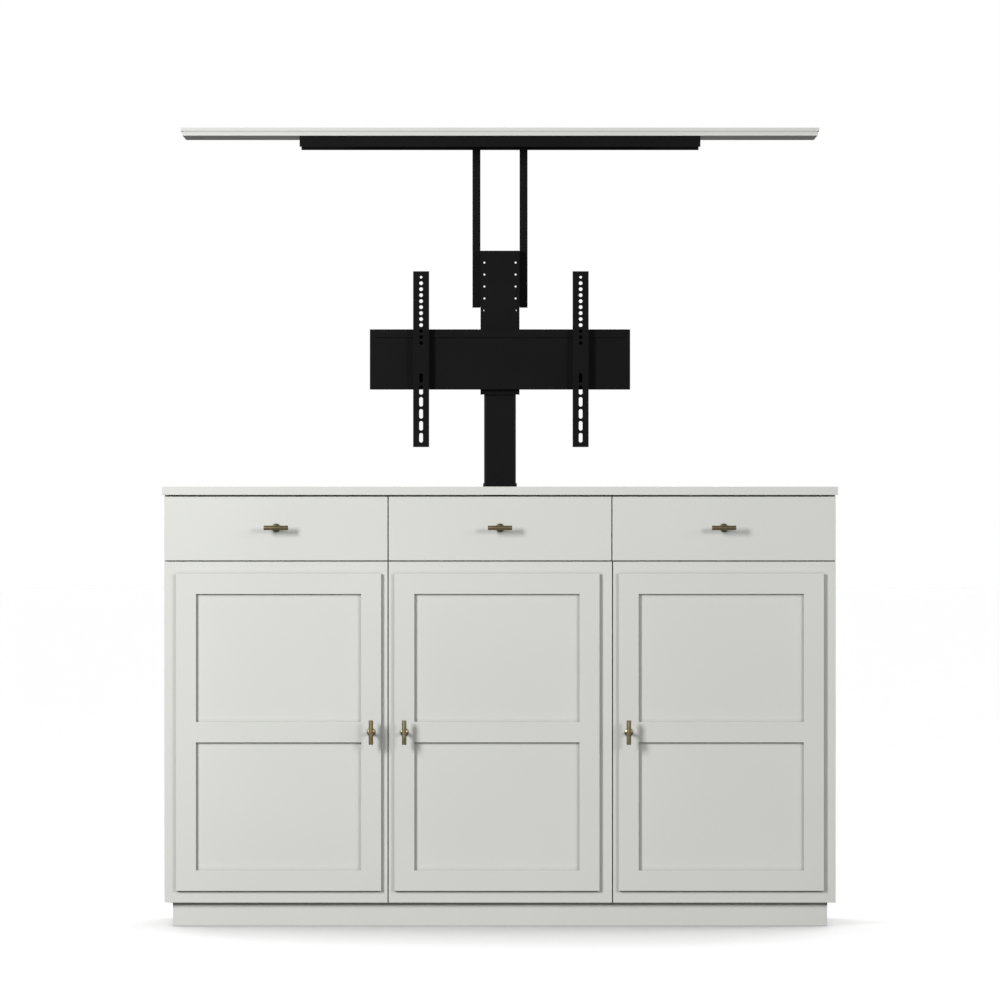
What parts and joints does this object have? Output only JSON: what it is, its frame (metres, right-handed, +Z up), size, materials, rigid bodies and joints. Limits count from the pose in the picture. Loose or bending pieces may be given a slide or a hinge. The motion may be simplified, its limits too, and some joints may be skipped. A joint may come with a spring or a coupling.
{
  "type": "tv lift cabinet",
  "caption": "Painted sideboard with drawers and panelled doors, and a powered column at the back that raises a screen mount and its lid out of the top.",
  "frame": {"origin": "middle of the object's footprint, on the floor", "axes": "+Z up, -Y towards the front with the doors, +X to the right seen from the front"},
  "size_m": [1.6684, 0.5496, 1.9815],
  "materials": {
    "paint": "satin paint",
    "inside_board": "satin",
    "black_steel": "satin powder coat",
    "brass": "antique",
    "nickel": "nickel plated"
  },
  "bodies": {
    "cabinet": {"plinth": "paint", "left_side_panel": "paint", "right_side_panel": "paint", "bottom_panel": "inside_board", "back_panel": "paint", "partition_panel": "inside_board", "drawer_deck": "inside_board", "left_divider": "inside_board", "right_divider": "inside_board", "top_board": "paint", "left_shelf": "inside_board", "right_shelf": "inside_board", "outer_tube": "black_steel", "drive_motor": "black_steel", "left_face_frame": "paint", "left_drawer_runner": "nickel", "left_door_lower_hinge_arm": "nickel", "left_door_upper_hinge_arm": "nickel", "middle_face_frame": "paint", "middle_drawer_runner": "nickel", "middle_door_lower_hinge_arm": "nickel", "middle_door_upper_hinge_arm": "nickel", "right_face_frame": "paint", "right_drawer_runner": "nickel", "right_door_lower_hinge_arm": "nickel", "right_door_upper_hinge_arm": "nickel"},
    "left_door": {"left_door_frame": "paint", "left_door_panel": "paint", "left_door_handle": "brass", "left_door_lower_hinge_cup": "nickel", "left_door_upper_hinge_cup": "nickel"},
    "left_drawer": {"left_drawer_front": "paint", "left_drawer_box": "inside_board", "left_drawer_handle": "brass"},
    "middle_door": {"middle_door_frame": "paint", "middle_door_panel": "paint", "middle_door_handle": "brass", "middle_door_lower_hinge_cup": "nickel", "middle_door_upper_hinge_cup": "nickel"},
    "middle_drawer": {"middle_drawer_front": "paint", "middle_drawer_box": "inside_board", "middle_drawer_handle": "brass"},
    "right_door": {"right_door_frame": "paint", "right_door_panel": "paint", "right_door_handle": "brass", "right_door_lower_hinge_cup": "nickel", "right_door_upper_hinge_cup": "nickel"},
    "right_drawer": {"right_drawer_front": "paint", "right_drawer_box": "inside_board", "right_drawer_handle": "brass"},
    "middle_stage": {"middle_tube": "black_steel"},
    "lift": {"inner_tube": "black_steel", "lift_head": "black_steel", "mount_box": "black_steel", "left_lid_rail": "black_steel", "right_lid_rail": "black_steel", "lid_bracket": "black_steel", "lid": "paint"},
    "left_arm": {"left_screen_arm": "black_steel"},
    "right_arm": {"right_screen_arm": "black_steel"}
  },
  "joints": [
    {"name": "left_door_swing", "type": "hinge", "parent": "cabinet", "child": "left_door", "pos_m": [-0.79775, -0.22922, 0.48], "axis": [0, 0, -1], "range_deg": [0, 105]},
    {"name": "left_drawer_slide", "type": "slide", "parent": "cabinet", "child": "left_drawer", "axis": [0, -1, 0], "range_m": [0, 0.13]},
    {"name": "middle_door_swing", "type": "hinge", "parent": "cabinet", "child": "middle_door", "pos_m": [0.24375, -0.22922, 0.48], "axis": [0, 0, 1], "range_deg": [0, 105]},
    {"name": "middle_drawer_slide", "type": "slide", "parent": "cabinet", "child": "middle_drawer", "axis": [0, -1, 0], "range_m": [0, 0.13]},
    {"name": "right_door_swing", "type": "hinge", "parent": "cabinet", "child": "right_door", "pos_m": [0.79725, -0.22922, 0.48], "axis": [0, 0, 1], "range_deg": [0, 105]},
    {"name": "right_drawer_slide", "type": "slide", "parent": "cabinet", "child": "right_drawer", "axis": [0, -1, 0], "range_m": [0, 0.13]},
    {"name": "lift_slide", "type": "slide", "parent": "cabinet", "child": "lift", "axis": [0, 0, 1], "range_m": [-0.8955, 0]},
    {"name": "middle_stage_slide", "type": "slide", "parent": "cabinet", "child": "middle_stage", "axis": [0, 0, 1], "range_m": [-0.44775, 0]},
    {"name": "left_arm_slide", "type": "slide", "parent": "lift", "child": "left_arm", "axis": [1, 0, 0], "range_m": [-0.1, 0.1]},
    {"name": "right_arm_slide", "type": "slide", "parent": "lift", "child": "right_arm", "axis": [1, 0, 0], "range_m": [-0.1, 0.1]}
  ],
  "couplings": [
    {"joint": "middle_stage_slide", "follows": "lift_slide", "ratio": 0.5}
  ]
}
